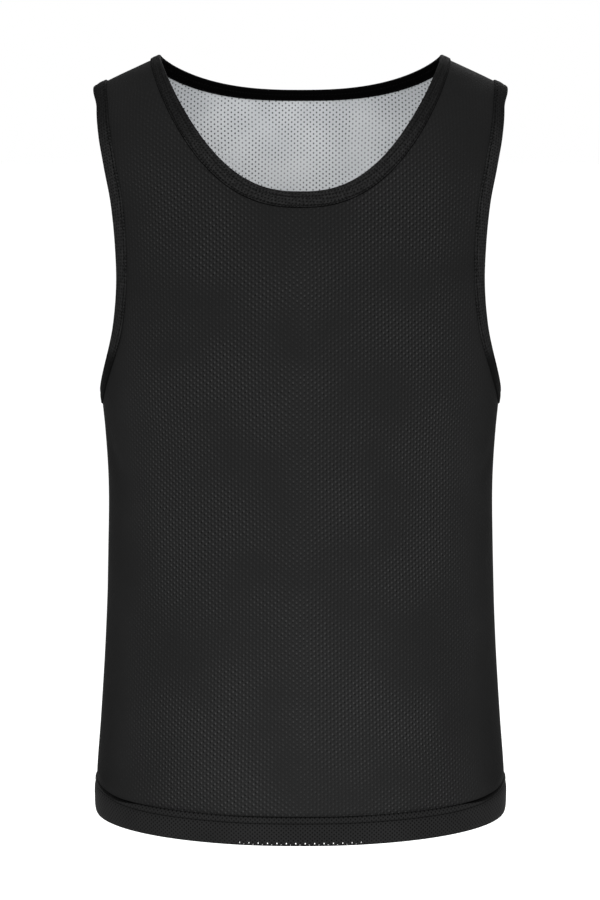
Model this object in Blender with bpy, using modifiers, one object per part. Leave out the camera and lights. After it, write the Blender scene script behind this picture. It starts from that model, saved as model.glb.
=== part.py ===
"""Training bib: a sleeveless two-layer mesh vest, standing open as when worn.

The frame is +Z up and +X to the viewer's right, and the front faces -Y. Sizes are in metres.
The origin is midway between the two points where the shoulder seams meet the neck.

Every piece is laid on one form: a stack of rounded level sections. A place on the form is
given by its turn about the upright axis (0 at the centre front, a quarter turn at the side)
and its height. Walls are made by moving the form's points out or in along its normals.
"""

import math

import bpy
import numpy as np

COLLECTION_NAME = "training_bib"

# ---- driving sizes -------------------------------------------------------------------------

CLOTH = 0.0010            # thickness of one layer as modelled
GAP = 0.0003              # between pieces that touch
BODY_LENGTH = 0.700       # shoulder seam at the neck down to the hem
HEM_HEIGHT = 0.027        # the visible hem band
HEM_TUCK = 0.0055         # how far the band's top reaches up behind the panel
BINDING_LEG = 0.0122      # outer leg of the folded neck and armhole strips
INNER_LEG_SHARE = 0.8     # inner leg, as a share of the outer one
SHOULDER_NARROWING = 0.42 # how much narrower the neck binding is at the shoulders

NECK_HALF_WIDTH = 0.129
SHOULDER_TIP_DROP = 0.0275      # shoulder seam's outer end below its inner end
UNDERARM_DROP = 0.3045          # armhole's lowest point below the neck points
ARMHOLE_REACH = {"front": 0.060, "back": 0.060}    # from the side line, front and back

# Neck edge seen from the front: drop * (1 - across ** power) ** fall, from centre to side.
NECK_EDGES = {
    "front": {"drop": 0.1187, "power": 2.46, "fall": 1.0},
    "back": {"drop": 0.0337, "power": 2.5, "fall": 0.75},
}

# Level sections of the worn form. Roundness 2 is an ellipse, and more is squarer.
SECTIONS = (
    # height, half_width, front_depth, back_depth, roundness
    (0.015, 0.0950, 0.062, 0.054, 2.00),
    (0.000, 0.1285, 0.070, 0.062, 2.00),
    (-0.014, 0.1563, 0.076, 0.069, 2.00),
    (-0.0225, 0.1692, 0.079, 0.073, 2.01),
    (-0.033, 0.1838, 0.083, 0.077, 2.03),
    (-0.045, 0.1918, 0.086, 0.081, 2.05),
    (-0.070, 0.2003, 0.092, 0.088, 2.08),
    (-0.095, 0.2012, 0.098, 0.095, 2.10),
    (-0.130, 0.1970, 0.105, 0.103, 2.10),
    (-0.165, 0.1909, 0.112, 0.109, 2.10),
    (-0.200, 0.1853, 0.117, 0.113, 2.10),
    (-0.240, 0.1825, 0.120, 0.115, 2.10),
    (-0.300, 0.1832, 0.124, 0.115, 2.10),
    (-0.340, 0.1798, 0.125, 0.113, 2.08),
    (-0.385, 0.1773, 0.126, 0.112, 2.07),
    (-0.450, 0.1779, 0.127, 0.112, 2.07),
    (-0.540, 0.1818, 0.128, 0.114, 2.07),
    (-0.610, 0.1866, 0.129, 0.116, 2.07),
    (-0.670, 0.1911, 0.130, 0.118, 2.07),
    (-0.715, 0.1912, 0.131, 0.119, 2.07),
)

# The shoulder tips stand out sideways from the sections, where the armhole binding is.
TIP_REACH = 0.0092
TIP_HEIGHT = -0.0275
TIP_SPREAD = 0.0125
TIP_SHARPNESS = 25

# The hem band in section, from its top down: how far its two faces stand out from the form,
# and how high they are above the finished edge. The tucked top lies behind the panel.
HEM_PROFILE = (
    # outer_out, inner_out, above_edge
    (-CLOTH - GAP, -0.0033, HEM_HEIGHT + HEM_TUCK),
    (-CLOTH - GAP, -0.0034, HEM_HEIGHT - 0.0010),
    (0.0009, -0.0033, HEM_HEIGHT - 0.0045),
    (0.0016, -0.0024, HEM_HEIGHT - 0.0110),
    (0.0014, -0.0016, 0.0040),
    (0.0005, -0.0008, 0.0000),
)

# Grid of half a panel: rows from hem to shoulder, columns from centre line to side. The row
# that ends under the arm sags towards the centre line, so that it leaves the armhole freely.
ALL_ROWS = 24
CENTRE_LINE_ROWS = 14
SIDE_SEAM_ROWS = 8
UNDERARM_ROW_DROP = 0.42
COLUMNS = 10
NECK_STEPS = ALL_ROWS - CENTRE_LINE_ROWS
ARMHOLE_STEPS = ALL_ROWS - SIDE_SEAM_ROWS

BEND_ANGLES = (90, 30, -30, -90)      # corners of a binding's fold, in degrees
BODY_MIDDLE = (0.0, 0.0, -0.3)

BLACK_MESH = (0.018, 0.018, 0.019, 1.0)
BLACK_BINDING = (0.008, 0.008, 0.009, 1.0)
PALE_MESH = (0.45, 0.46, 0.48, 1.0)

QUARTER = math.pi / 2
NORMAL_STEP = 1e-4        # step of turn and height for the form's normals
MOVE_STEPS = 8            # steps in which a line is moved into the cloth
TURN_PASSES = 3           # passes that settle a point's turn near the shoulder tips
SEAM_SAMPLES = 40         # points along the shoulder seam when its length is measured
MERGE_DISTANCE = 0.00005  # where a mirrored half meets the other


# ---- the worn form -------------------------------------------------------------------------

def section_at(height):
    """Half width, front depth, back depth and roundness at a height, smoothly joined."""
    rows = np.array(SECTIONS)[::-1]
    knots, values = rows[:, 0], rows[:, 1:]
    slopes = np.gradient(values, knots, axis=0)
    row = np.clip(np.searchsorted(knots, height) - 1, 0, len(knots) - 2)
    span = knots[row + 1] - knots[row]
    part = ((height - knots[row]) / span)[..., None]
    span = span[..., None]
    return ((1 + 2 * part) * (1 - part) ** 2 * values[row]
            + part * (1 - part) ** 2 * span * slopes[row]
            + part ** 2 * (3 - 2 * part) * values[row + 1]
            + part ** 2 * (part - 1) * span * slopes[row + 1])


def unit_round(turn, roundness):
    """Point of a unit superellipse in the direction of a turn, as (across, ahead)."""
    across, ahead = np.sin(turn), np.cos(turn)
    reach = (np.abs(across) ** roundness + np.abs(ahead) ** roundness) ** (1 / roundness)
    return across / reach, ahead / reach


def tip_reach(turn, height):
    """How far the form stands out sideways at the shoulder tips: a bell curve of the height,
    times an odd power of the sine of the turn, which gives it the side's sign."""
    bell = np.exp(-((height - TIP_HEIGHT) / TIP_SPREAD) ** 2)
    return TIP_REACH * bell * np.sin(turn) ** TIP_SHARPNESS


def form_point(turn, height):
    """Point on the outer face of the garment's body."""
    turn, height = np.broadcast_arrays(turn, height)
    half_width, front, back, roundness = np.moveaxis(section_at(height), -1, 0)
    across, ahead = unit_round(turn, roundness)
    depth = np.where(ahead >= 0, front, back)
    sideways = half_width * across + tip_reach(turn, height)
    return np.stack([sideways, -depth * ahead, height], axis=-1)


def form_normal(turn, height):
    """Outward unit normal of the form."""
    along = form_point(turn + NORMAL_STEP, height) - form_point(turn - NORMAL_STEP, height)
    up = form_point(turn, height + NORMAL_STEP) - form_point(turn, height - NORMAL_STEP)
    normal = np.cross(along, up)
    return normal / np.linalg.norm(normal, axis=-1, keepdims=True)


def turn_of(point):
    """Turn at which a point near the form lies, on its own level."""
    half_width, front, back, _ = np.moveaxis(section_at(point[..., 2]), -1, 0)
    ahead = -point[..., 1] / np.where(point[..., 1] <= 0, front, back)
    turn = np.arctan2(point[..., 0] / half_width, ahead)
    for _ in range(TURN_PASSES):
        sideways = point[..., 0] - tip_reach(turn, point[..., 2])
        turn = np.arctan2(sideways / half_width, ahead)
    return turn


def side_depth(side, height):
    """Front or back depth and the roundness of the section at a height."""
    _, front, back, roundness = np.moveaxis(section_at(height), -1, 0)
    return (front if side == "front" else back), roundness


def turned_to(side, turn):
    """A turn on the front's +X half, carried to the same place on the named side."""
    return turn if side == "front" else math.pi - turn


# ---- edges of the panels, each as (turn, height) -------------------------------------------

def neck_edge(side):
    """Neck edge of half a panel, from the centre line to the shoulder seam."""
    edge = NECK_EDGES[side]
    across = np.sin(np.linspace(0, QUARTER, NECK_STEPS + 1))
    height = -edge["drop"] * (1 - across ** edge["power"]) ** edge["fall"]
    half_width = section_at(height)[:, 0]
    _, roundness = side_depth(side, height)
    share = np.minimum(across * NECK_HALF_WIDTH / half_width, 1)
    turn = np.arctan2(share, (1 - share ** roundness) ** (1 / roundness))
    turn[-1] = QUARTER
    return turned_to(side, turn), height


def armhole_edge(side):
    """Armhole edge of half a panel, from the underarm to the shoulder seam."""
    angle = np.linspace(-QUARTER, QUARTER, ARMHOLE_STEPS + 1)
    half_height = (UNDERARM_DROP - SHOULDER_TIP_DROP) / 2
    height = -SHOULDER_TIP_DROP - half_height + half_height * np.sin(angle)
    depth, roundness = side_depth(side, height)
    share = np.abs(np.cos(angle)) * ARMHOLE_REACH[side] / depth
    turn = np.arctan2((1 - share ** roundness) ** (1 / roundness), share)
    turn[[0, -1]] = QUARTER
    return turned_to(side, turn), height


def moved_in(edge, width, cloth_on_left, end_heights):
    """Edge moved into the cloth by a width, in short steps that each return to the form.

    Its ends keep their turns and take end_heights. Seen from outside, cloth_on_left tells on
    which hand of the edge's run the cloth lies.
    """
    turn, height = edge
    point, normal = form_point(turn, height), form_normal(turn, height)
    run = np.gradient(point, axis=0)
    heading = np.cross(normal, run if cloth_on_left else -run)
    step = np.broadcast_to(width, turn.shape)[:, None] / MOVE_STEPS
    for _ in range(MOVE_STEPS):
        heading = heading - normal * np.sum(heading * normal, axis=-1, keepdims=True)
        heading /= np.linalg.norm(heading, axis=-1, keepdims=True)
        moved = point + heading * step
        level = form_point(turn_of(moved), moved[:, 2])
        moved = moved - normal * np.sum((moved - level) * normal, axis=-1, keepdims=True)
        new_turn, new_height = turn_of(moved), moved[:, 2]
        point, normal = form_point(new_turn, new_height), form_normal(new_turn, new_height)
    new_turn[[0, -1]] = turn[[0, -1]]
    new_height[[0, -1]] = end_heights
    return new_turn, new_height


def seam_height(distance):
    """Height of the shoulder seam at a distance along it from the neck or, where the
    distance is negative, from the armhole."""
    heights = np.linspace(0, -SHOULDER_TIP_DROP, SEAM_SAMPLES)
    steps = np.linalg.norm(np.diff(form_point(QUARTER, heights), axis=0), axis=1)
    run = np.append(0, np.cumsum(steps))
    return np.interp(distance if distance >= 0 else run[-1] + distance, run, heights)


def neck_strip(side):
    """The neck's edge and the line where its binding ends, nearer to it at the shoulder."""
    edge = neck_edge(side)
    at_shoulder = np.sin(np.linspace(0, QUARTER, NECK_STEPS + 1)) ** 6
    width = BINDING_LEG * (1 - SHOULDER_NARROWING * at_shoulder)
    ends = (edge[1][0] - width[0], seam_height(width[-1]))
    return edge, moved_in(edge, width, side == "back", ends)


def armhole_strip(side):
    """The armhole's edge and the line where its binding ends."""
    edge = armhole_edge(side)
    ends = (edge[1][0] - BINDING_LEG, seam_height(-BINDING_LEG))
    return edge, moved_in(edge, BINDING_LEG, side == "front", ends)


# ---- panels and linings --------------------------------------------------------------------

def half_panel_places(side, lower_edge):
    """Turn and height of each grid point of the panel's +X half, in three groups.

    The core is a grid of rows from hem to shoulder. The neck edge and the armhole edge
    follow it, one point for each core row that ends on their strip.
    """
    neck, neck_line = neck_strip(side)
    armhole, armhole_line = armhole_strip(side)
    centre_heights = np.interp(
        np.arange(CENTRE_LINE_ROWS + 1), (0, SIDE_SEAM_ROWS, CENTRE_LINE_ROWS),
        (lower_edge, -UNDERARM_ROW_DROP, neck_line[1][0]))
    seam_heights = np.linspace(lower_edge, armhole_line[1][0], SIDE_SEAM_ROWS + 1)
    centre_turns = np.full(CENTRE_LINE_ROWS, turned_to(side, 0.0))
    seam_turns = np.full(SIDE_SEAM_ROWS, QUARTER)
    near = np.stack([np.append(centre_turns, neck_line[0]),
                     np.append(centre_heights[:-1], neck_line[1])], axis=-1)
    far = np.stack([np.append(seam_turns, armhole_line[0]),
                    np.append(seam_heights[:-1], armhole_line[1])], axis=-1)
    share = np.linspace(0, 1, COLUMNS + 1)[None, :, None]
    core = near[:, None] + (far - near)[:, None] * share
    places = np.concatenate([core.reshape(-1, 2), np.stack(neck, -1), np.stack(armhole, -1)])
    return places[:, 0], places[:, 1]


def half_panel_faces(side):
    """Quads of the half panel, seen from outside in anticlockwise order."""
    row_length = COLUMNS + 1
    neck_start = (ALL_ROWS + 1) * row_length
    armhole_start = neck_start + NECK_STEPS + 1
    faces = []
    for row in range(ALL_ROWS):
        for column in range(COLUMNS):
            corner = row * row_length + column
            faces.append((corner, corner + 1, corner + 1 + row_length, corner + row_length))
    for step in range(NECK_STEPS):
        core = (CENTRE_LINE_ROWS + step) * row_length
        edge = neck_start + step
        faces.append((core, core + row_length, edge + 1, edge))
    for step in range(ARMHOLE_STEPS):
        core = (SIDE_SEAM_ROWS + step) * row_length + COLUMNS
        edge = armhole_start + step
        faces.append((core, edge, edge + 1, core + row_length))
    return faces if side == "front" else [face[::-1] for face in faces]


def parted_at_seams(side, points):
    """Points kept half a gap clear of the plane where front and back meet."""
    if side == "front":
        points[..., 1] = np.minimum(points[..., 1], -GAP / 2)
    else:
        points[..., 1] = np.maximum(points[..., 1], GAP / 2)
    return points


def add_panel(collection, material, name, side, outer_out, lower_edge):
    """One panel as a wall: half of it is built open at the centre line, then mirrored."""
    turn, height = half_panel_places(side, lower_edge)
    base, normal = form_point(turn, height), form_normal(turn, height)
    outer = parted_at_seams(side, base + normal * outer_out)
    inner = parted_at_seams(side, base + normal * (outer_out - CLOTH))
    faces = half_panel_faces(side)
    count = len(outer)
    rim = [(b, a, a + count, b + count) for a, b in open_edges(faces, outer[:, 0])]
    back_faces = [tuple(corner + count for corner in face[::-1]) for face in faces]
    half = add_mesh(collection, material, name, np.concatenate([outer, inner]),
                    faces + back_faces + rim)
    mirror = half.modifiers.new("other_half", "MIRROR")
    mirror.merge_threshold = MERGE_DISTANCE


def open_edges(faces, across):
    """Edges that one face has alone, but for those on the centre line."""
    pairs = {pair for face in faces for pair in zip(face, face[1:] + face[:1])}
    return sorted((a, b) for a, b in pairs
                  if (b, a) not in pairs and max(across[a], across[b]) > MERGE_DISTANCE)


# ---- bindings ------------------------------------------------------------------------------

def fold_profile(edge, line):
    """Outer and inner chains of a folded strip at each station along an edge.

    The strip wraps both layers: an outer leg, a round fold and a shorter inner leg.
    """
    edge_point, edge_normal = form_point(*edge), form_normal(*edge)
    line_point, line_normal = form_point(*line), form_normal(*line)
    away = edge_point - line_point
    away -= edge_normal * np.sum(away * edge_normal, axis=-1, keepdims=True)
    away /= np.linalg.norm(away, axis=-1, keepdims=True)
    both_layers = 2 * CLOTH + GAP
    middle = edge_point - edge_normal * both_layers / 2
    inner_end = edge_point + (line_point - edge_point) * INNER_LEG_SHARE
    chains = []
    for stand_off in (GAP + CLOTH, GAP):
        radius = both_layers / 2 + stand_off
        chain = [line_point + line_normal * stand_off]
        for angle in np.radians(BEND_ANGLES):
            chain.append(middle + radius * (away * np.cos(angle) + edge_normal * np.sin(angle)))
        chain.append(inner_end - edge_normal * (both_layers + stand_off))
        chains.append(np.stack(chain, axis=1))
    return chains


def both_sides(strip_of):
    """A strip's front and back runs in one, front first and the shared seam point once."""
    front, back = strip_of("front"), strip_of("back")
    return [tuple(np.append(ahead, behind[-2::-1]) for ahead, behind in zip(one, other))
            for one, other in zip(front, back)]


def add_neck_binding(collection, material):
    """Folded strip all round the neck."""
    halves = fold_profile(*both_sides(neck_strip))
    mirror = np.array([-1, 1, 1])
    outer, inner = (np.concatenate([chain, chain[-2:0:-1] * mirror])[::-1]
                    for chain in halves)
    add_loft(collection, material, "neck_binding", outer, inner, closed=True)


def add_armhole_binding(collection, material, name, hand):
    """Folded strip all round an armhole: hand is 1 on the +X side and -1 on the other."""
    chains = fold_profile(*both_sides(armhole_strip))
    outer, inner = (chain[:-1] * np.array([hand, 1, 1]) for chain in chains)
    if hand < 0:
        outer, inner = outer[::-1], inner[::-1]
    add_loft(collection, material, name, outer, inner, closed=True)


# ---- hem -----------------------------------------------------------------------------------

def add_hem(collection, material, side):
    """Turned-up band along the lower edge of one side, from seam to seam."""
    turn = turned_to(side, np.linspace(-QUARTER, QUARTER, 2 * COLUMNS + 1))[:, None]
    outer_out, inner_out, above = np.array(HEM_PROFILE).T
    height = above - BODY_LENGTH
    base, normal = form_point(turn, height), form_normal(turn, height)
    outer = parted_at_seams(side, base + normal * outer_out[:, None])
    inner = parted_at_seams(side, base + normal * inner_out[:, None])
    if side == "back":
        outer, inner = outer[::-1], inner[::-1]
    add_loft(collection, material, "hem_" + side, outer, inner, closed=False)


# ---- meshes --------------------------------------------------------------------------------

def add_loft(collection, material, name, outer, inner, closed):
    """Wall through stations. Each station has an outer chain and an inner chain of points,
    and the last station joins the first where the wall is closed."""
    stations, chain_length = outer.shape[:2]
    ring = 2 * chain_length
    points = np.concatenate([outer, inner[:, ::-1]], axis=1).reshape(-1, 3)
    faces = []
    for station in range(stations if closed else stations - 1):
        here, there = station * ring, (station + 1) % stations * ring
        for corner in range(ring):
            following = (corner + 1) % ring
            faces.append((here + corner, here + following, there + following, there + corner))
    if not closed:
        last = (stations - 1) * ring
        for corner in range(chain_length - 1):
            opposite = ring - 1 - corner
            cap = (corner, opposite, opposite - 1, corner + 1)
            faces.append(cap)
            faces.append(tuple(last + place for place in cap[::-1]))
    add_mesh(collection, material, name, points, faces)


def folded_outward(points, quads):
    """Two triangles for each quad, folded along the diagonal that stands further out.

    Walls that lie on each other then fold alike and keep their gap.
    """
    quads = np.array(quads)
    a, b, c, d = (points[quads[:, corner]] for corner in range(4))
    normal = np.cross(c - a, d - b)
    faces_out = np.sum(normal * (a + c - 2 * np.array(BODY_MIDDLE)), axis=1) > 0
    last_is_high = np.sum(np.cross(b - a, c - a) * (d - a), axis=1) > 0
    turned = np.where((faces_out == last_is_high)[:, None], np.roll(quads, -1, axis=1), quads)
    return np.concatenate([turned[:, [0, 1, 2]], turned[:, [0, 2, 3]]]).tolist()


def add_mesh(collection, material, name, points, quads):
    """Smooth-shaded mesh object in the collection."""
    mesh = bpy.data.meshes.new(name)
    mesh.from_pydata(points.tolist(), [], folded_outward(points, quads))
    mesh.shade_smooth()
    mesh.materials.append(material)
    piece = bpy.data.objects.new(name, mesh)
    collection.objects.link(piece)
    return piece


def add_material(name, colour, roughness):
    """Plain cloth material."""
    material = bpy.data.materials.new(name)
    material.use_nodes = True
    shader = material.node_tree.nodes["Principled BSDF"]
    shader.inputs["Base Color"].default_value = colour
    shader.inputs["Roughness"].default_value = roughness
    shader.inputs["Metallic"].default_value = 0.0
    return material


# ---- the bib -------------------------------------------------------------------------------

def main():
    for existing in list(bpy.data.objects):
        bpy.data.objects.remove(existing)
    collection = bpy.data.collections.new(COLLECTION_NAME)
    bpy.context.scene.collection.children.link(collection)
    black = add_material("black_mesh", BLACK_MESH, 0.85)
    binding = add_material("black_binding", BLACK_BINDING, 0.80)
    pale = add_material("pale_mesh", PALE_MESH, 0.85)

    panel_edge = -BODY_LENGTH + HEM_HEIGHT
    lining_edge = panel_edge + HEM_TUCK + GAP
    for side in ("front", "back"):
        add_panel(collection, black, side + "_panel", side, 0.0, panel_edge)
        add_panel(collection, pale, side + "_lining", side, -CLOTH - GAP, lining_edge)
        add_hem(collection, black, side)
    add_neck_binding(collection, binding)
    add_armhole_binding(collection, binding, "armhole_binding_left", -1)
    add_armhole_binding(collection, binding, "armhole_binding_right", 1)


main()
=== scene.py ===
"""Training bib, the looks: a black mesh vest with a pale mesh lining, standing open as worn.

The frame is the CAD's: +Z up, +X to the viewer's right, the front faces -Y, metres.
Every piece of cloth lies on one worn form. A place on it is a turn about the upright axis
(0 at the centre front, a quarter turn at the side seam) and a height. Layers are the form's
points moved out or in along its normals, so the pieces nest as the CAD's walls do.
"""

import math
from collections import namedtuple

import bpy
import numpy as np
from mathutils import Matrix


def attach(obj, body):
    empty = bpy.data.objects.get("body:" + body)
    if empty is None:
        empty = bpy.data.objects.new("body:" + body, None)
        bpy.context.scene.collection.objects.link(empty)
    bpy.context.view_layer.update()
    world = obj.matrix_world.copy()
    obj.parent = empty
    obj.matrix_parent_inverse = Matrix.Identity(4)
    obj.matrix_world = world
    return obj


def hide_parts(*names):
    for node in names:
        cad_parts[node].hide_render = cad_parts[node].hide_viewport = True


# ---- sizes shared with the CAD ----

BODY_LENGTH = 0.700  # shoulder seam at the neck down to the hem
HEM_HEIGHT = 0.027  # the visible hem band
HEM_TUCK = 0.0055  # how far the band's top reaches up behind the panel
LINING_LEVEL = -0.0013  # the lining's outer face, inside the panel's
NECK_HALF_WIDTH = 0.129
SHOULDER_TIP_DROP = 0.0275
UNDERARM_DROP = 0.3045
ARMHOLE_REACH = 0.060
BINDING_LEG = 0.0122

NECK_EDGES = {
    "front": {"drop": 0.1187, "power": 2.46, "fall": 1.0},
    "back": {"drop": 0.0337, "power": 2.5, "fall": 0.75},
}

SECTIONS = (
    # height, half_width, front_depth, back_depth, roundness
    (0.015, 0.0950, 0.062, 0.054, 2.00),
    (0.000, 0.1285, 0.070, 0.062, 2.00),
    (-0.014, 0.1563, 0.076, 0.069, 2.00),
    (-0.0225, 0.1692, 0.079, 0.073, 2.01),
    (-0.033, 0.1838, 0.083, 0.077, 2.03),
    (-0.045, 0.1918, 0.086, 0.081, 2.05),
    (-0.070, 0.2003, 0.092, 0.088, 2.08),
    (-0.095, 0.2012, 0.098, 0.095, 2.10),
    (-0.130, 0.1970, 0.105, 0.103, 2.10),
    (-0.165, 0.1909, 0.112, 0.109, 2.10),
    (-0.200, 0.1853, 0.117, 0.113, 2.10),
    (-0.240, 0.1825, 0.120, 0.115, 2.10),
    (-0.300, 0.1832, 0.124, 0.115, 2.10),
    (-0.340, 0.1798, 0.125, 0.113, 2.08),
    (-0.385, 0.1773, 0.126, 0.112, 2.07),
    (-0.450, 0.1779, 0.127, 0.112, 2.07),
    (-0.540, 0.1818, 0.128, 0.114, 2.07),
    (-0.610, 0.1866, 0.129, 0.116, 2.07),
    (-0.670, 0.1911, 0.130, 0.118, 2.07),
    (-0.715, 0.1912, 0.131, 0.119, 2.07),
)

# The shoulder tips stand out sideways from the sections, where the armhole binding is.
TIP_REACH = 0.0092
TIP_HEIGHT = -0.0275
TIP_SPREAD = 0.0125
TIP_SHARPNESS = 25

# ---- sizes of the finish ----

PANEL_CLOTH = 0.0008  # one layer of mesh
BINDING_CLOTH = 0.0012
BINDING_STAND = 0.0002  # between a binding and the panel under it
DRAWN_IN = 0.72  # how full a binding is under its stitches
INNER_LEG = 0.0076  # the binding's inner leg
INNER_WIDENING = 0.36  # how much wider the neck binding's is at the shoulders
INNER_SWELL = 0.17  # and half way round to them
SHOULDER_NARROWING = 0.42  # how much narrower the neck binding is at the shoulders
EDGE_UNDER_BINDING = 0.0030  # the panel's edge, this far inside the binding's fold

PANEL_ROWS = 144  # from hem to shoulder
CENTRE_ROWS = 84  # of these, along the centre line
SIDE_ROWS = 48  # of these, along the side seam
UNDERARM_ROW_DROP = 0.42  # where the row that ends under the arm meets the centre line
HALF_COLUMNS = 60
NECK_STATIONS = 4 * (PANEL_ROWS - CENTRE_ROWS)
ARMHOLE_STATIONS = 2 * (PANEL_ROWS - SIDE_ROWS)
HEM_COLUMNS = 640
SEAM_DIP = 0.0009  # how far a seamed edge turns in
SEAM_ROLL = 0.0035  # over this width
SEAM_GAP = 0.00002  # beside a seam, front and back stay this far off its plane
LOWER_ROLL = 0.00024  # how far each face turns in at the panel's lower edge
LINING_LIFT = 0.0003  # from the band's top up to the lining's lower edge

CREASE_RADIUS = 0.155  # turns a turn into a distance along the cloth
SPRING_SHARE = 0.12
SPRING_LEVELS = (  # stride over the grid, passes
    (3, 2200),
    (1, 160),
)

# Soft troughs and ridges. Places are in degrees of turn and metres of height.
CREASES = (
    # from_turn, from_height, to_turn, to_height, bow, width, depth
    (-64, -0.205, -26, -0.430, 0.020, 0.017, -0.0016),
    (61, -0.225, 31, -0.405, -0.016, 0.015, -0.0013),
    (-47, -0.300, -42, -0.520, 0.006, 0.013, 0.0012),
    (45, -0.315, 43, -0.500, -0.005, 0.012, 0.0011),
    (-78, -0.335, -50, -0.395, 0.010, 0.011, -0.0014),
    (79, -0.345, 54, -0.390, -0.008, 0.010, -0.0012),
    (-20, -0.150, -52, -0.240, 0.012, 0.018, 0.0010),
    (22, -0.150, 50, -0.255, -0.010, 0.016, 0.0009),
    (-12, -0.560, -16, -0.720, 0.004, 0.024, 0.0012),
    (17, -0.540, 13, -0.720, 0.004, 0.022, 0.0010),
    (58, -0.560, 66, -0.700, 0.006, 0.016, -0.0011),
    (-60, -0.590, -66, -0.700, 0.006, 0.015, -0.0010),
    (158, -0.190, 151, -0.640, 0.014, 0.021, 0.0030),
    (171, -0.260, 169, -0.715, 0.006, 0.018, -0.0026),
    (187, -0.210, 184, -0.600, -0.010, 0.023, 0.0026),
    (205, -0.240, 213, -0.700, -0.012, 0.019, 0.0028),
    (197, -0.330, 201, -0.720, 0.004, 0.015, -0.0022),
    (136, -0.300, 140, -0.720, 0.008, 0.018, -0.0021),
    (228, -0.330, 224, -0.690, -0.006, 0.016, -0.0019),
    (117, -0.215, 146, -0.400, 0.018, 0.015, -0.0022),
    (243, -0.230, 219, -0.390, -0.014, 0.014, -0.0020),
    (104, -0.345, 133, -0.430, 0.012, 0.011, 0.0016),
    (254, -0.350, 230, -0.410, -0.010, 0.011, 0.0014),
    (150, -0.075, 206, -0.083, 0.016, 0.014, -0.0014),
    (93, -0.350, 96, -0.560, 0.006, 0.013, 0.0013),
    (-93, -0.360, -97, -0.540, -0.006, 0.012, 0.0012),
)

# Where the panel blouses over the hem band: at the front's and the back's corners.
BLOUSES = (
    # turn, spread, stands_out
    (-64, 15, 0.0036),
    (64, 15, 0.0032),
    (-12, 30, 0.0004),
    (20, 24, 0.0003),
    (122, 18, 0.0020),
    (236, 16, 0.0021),
)
BLOUSE_HEIGHT = 0.020

# The hem band in section, from its top down to its folded edge.
HEM_SECTION = (
    # above_edge, outside_stands_out, inside_stands_out
    (HEM_HEIGHT + HEM_TUCK, -0.0016, -0.0033),
    (0.0285, -0.0016, -0.0034),
    (0.0268, -0.0012, -0.0034),
    (0.0260, -0.0002, -0.0034),
    (0.0252, 0.0008, -0.0033),
    (0.0240, 0.0013, -0.0032),
    (0.0226, 0.0014, -0.0031),
    (0.0214, 0.0009, -0.0030),
    (0.0206, 0.0003, -0.0028),
    (0.0198, 0.0009, -0.0027),
    (0.0184, 0.0015, -0.0025),
    (0.0160, 0.0019, -0.0023),
    (0.0130, 0.0020, -0.0021),
    (0.0100, 0.0019, -0.0019),
    (0.0070, 0.0018, -0.0017),
    (0.0048, 0.0017, -0.0015),
    (0.0034, 0.0015, -0.0013),
    (0.0025, 0.0013, -0.0011),
    (0.0016, 0.0011, -0.0009),
    (0.0008, 0.0008, -0.0007),
    (0.0002, 0.0004, -0.0004),
    (0.0000, -0.0001, -0.0001),
)
HEM_MEASURED_ROW = 8  # from the folded edge up, the row whose length is the band's
GROOVE_HEIGHT = 0.0206  # of the stitched groove, above the folded edge
PINHOLES = (  # through the band just above its folded edge
    # section_row, first_column
    (16, 0),
    (17, 0),
    (18, 4),
)
PINHOLE_EVERY = 9  # columns from one pinhole to the next
PINHOLE_REACH = 0.056  # from the centre front, to each side
HEM_CORNER = 0.202  # from the centre along the hem to where its crease and its painted shade are deepest
HEM_CORNER_SPREAD = 0.052
HEM_CREASE_SHADE_LEVELS = (0.0217, 0.0262)  # where the painted shade in the crease starts, at the corners and elsewhere
SIDE_RISE = 0.008  # how much higher the panel's lower edge is at the side seams
SIDE_RISE_SPREAD = 24  # degrees of turn
SIDE_RISE_FADE = 0.060  # the cloth above it settles over this height

# The mesh: holes in upright columns, every other column half a pitch lower.
HOLE_CELL = (0.0064, 0.00456)  # two columns across, one pitch down
HOLE_SIZE = 0.00072  # half the hole's height
HOLE_SQUAT = 1.25  # its height over its width
HOLE_SHADOW = (0.0012, 0.0011)  # how far out and down its shadow lies
DOUBLE_CELL = (0.0043, 0.0037)  # the closer pattern of two layers on each other
DOUBLE_HOLE_SIZE = 0.00062
BIAS = math.radians(45)
NEEDLE_PLACE = 0.87  # where between two stitches the needle went in

# How the two bindings' cloth and stitches differ.
BINDINGS = {
    "neck": {
        "pitch": 0.0031,  # from stitch to stitch
        "rows": ((0.17, 0.8), (0.80, 0.4)),  # share of the outer leg, how dark it is there
        "inner_rows": (0.18, 0.78),
        "yarn": (0.0062, 0.0122),  # tones
        "hole": 0.0034,
        "crease_shade": 0.9,  # how dark the painted shade at the end of its outer leg is
        "tip_shade": 0.45,  # and the painted shade at its upper end
    },
    "armhole": {
        "pitch": 0.0052,
        "rows": ((0.17, 1.0),),
        "inner_rows": (0.18,),
        "yarn": (0.0074, 0.0126),
        "hole": 0.0036,
        "crease_shade": 0.10,
        "tip_shade": 0.55,
        "shaded_below": -0.266,  # a height under which it has painted shade
    },
}

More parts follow.
